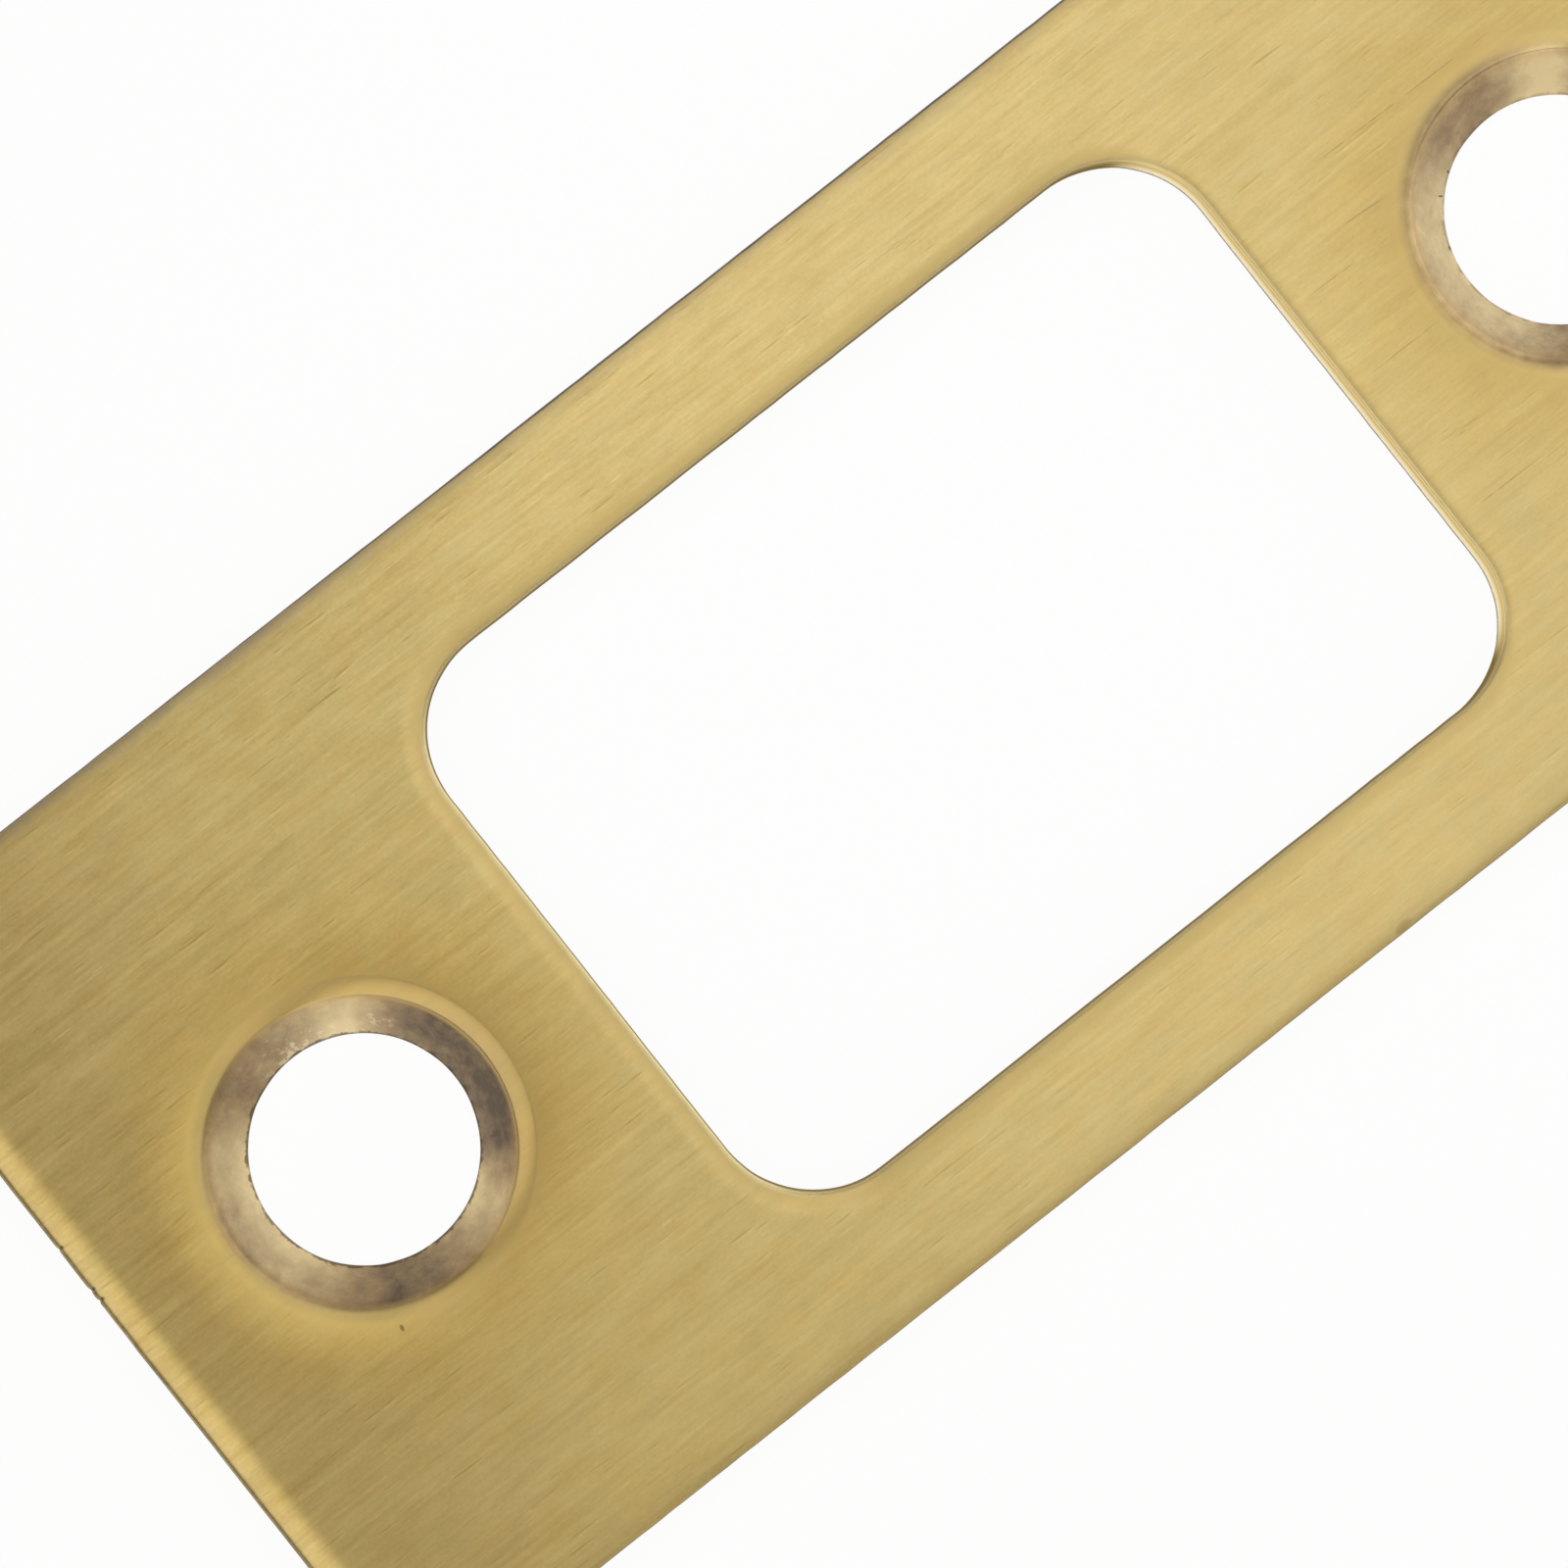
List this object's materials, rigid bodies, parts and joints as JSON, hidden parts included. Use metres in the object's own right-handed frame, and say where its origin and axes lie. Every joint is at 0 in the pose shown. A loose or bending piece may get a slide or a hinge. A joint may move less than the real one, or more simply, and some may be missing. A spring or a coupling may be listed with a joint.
{
  "type": "door strike plate",
  "caption": "Flat brass plate with a round-cornered opening for a door bolt and a countersunk screw hole in each end.",
  "frame": {"origin": "middle of the flat back, which lies in the mortise", "axes": "+X along the plate, +Y across it, +Z out of its face, away from the door frame"},
  "size_m": [0.0572, 0.0254, 0.0016],
  "materials": {
    "satin_brass": "brushed along the plate, satin"
  },
  "bodies": {
    "root": {"strike_plate": "satin_brass"}
  },
  "joints": []
}
